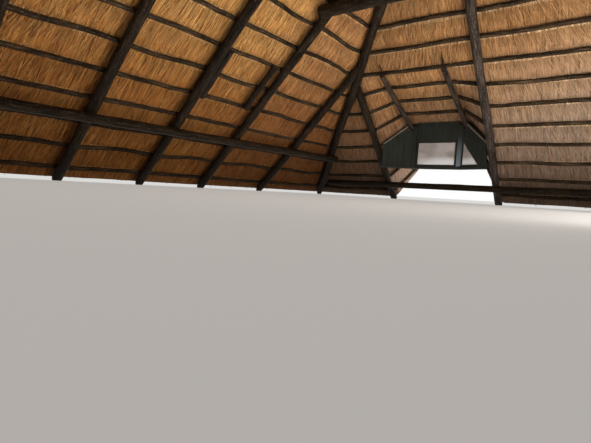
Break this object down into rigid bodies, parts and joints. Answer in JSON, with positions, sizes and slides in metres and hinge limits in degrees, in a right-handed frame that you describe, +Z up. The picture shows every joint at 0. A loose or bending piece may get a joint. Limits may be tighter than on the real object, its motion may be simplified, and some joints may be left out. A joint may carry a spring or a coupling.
{
  "type": "thatched hip roof on a gum pole frame",
  "caption": "Steep thatched hip roof of a traditional hut: straw coat on battens and dark pole rafters, with a swept hood and a boarded, glazed screen over the entrance.",
  "frame": {"origin": "middle of the plan, on the level that the rafter tails stand on", "axes": "X runs across the span, +Y runs along the ridge towards the entrance hood, +Z is up"},
  "size_m": [7.9946, 11.0498, 4.2558],
  "materials": {
    "gum_pole": "peeled gum pole, tarred nearly black, dull",
    "batten_pole": "thin crooked pole, dark brown, rough",
    "straw": "combed thatching grass, golden brown, matt",
    "mortar": "trowelled mortar, pale grey, weathered",
    "dark_board": "planed board, dark green-black paint, satin",
    "glass": "clear window glass, slightly dusty"
  },
  "bodies": {
    "root": {"plate_left": "gum_pole", "plate_right": "gum_pole", "plate_far": "gum_pole", "plate_near": "gum_pole", "ridge_pole": "gum_pole", "hip_rafter_far_left": "gum_pole", "hip_rafter_far_right": "gum_pole", "hip_rafter_near_left": "gum_pole", "hip_rafter_near_right": "gum_pole", "common_rafters_left": "gum_pole", "common_rafters_right": "gum_pole", "jack_rafters_far_left": "gum_pole", "jack_rafters_far_right": "gum_pole", "jack_rafters_near_left": "gum_pole", "jack_rafters_near_right": "gum_pole", "king_rafter_far": "gum_pole", "king_rafter_near": "gum_pole", "collar_beams": "gum_pole", "trimmer_poles": "gum_pole", "hood_rafters": "gum_pole", "hood_beam": "gum_pole", "battens_left": "batten_pole", "battens_right": "batten_pole", "battens_far": "batten_pole", "battens_near": "batten_pole", "hood_battens": "batten_pole", "thatch_left": "straw", "thatch_right": "straw", "thatch_near": "straw", "thatch_far_top": "straw", "thatch_far_left": "straw", "thatch_far_right": "straw", "hood_thatch_left": "straw", "hood_thatch_middle": "straw", "hood_thatch_right": "straw", "ridge_cap": "mortar", "screen_left": "dark_board", "screen_middle": "dark_board", "screen_right": "dark_board", "screen_posts": "dark_board", "screen_sill": "dark_board", "screen_glass": "glass"}
  },
  "joints": []
}
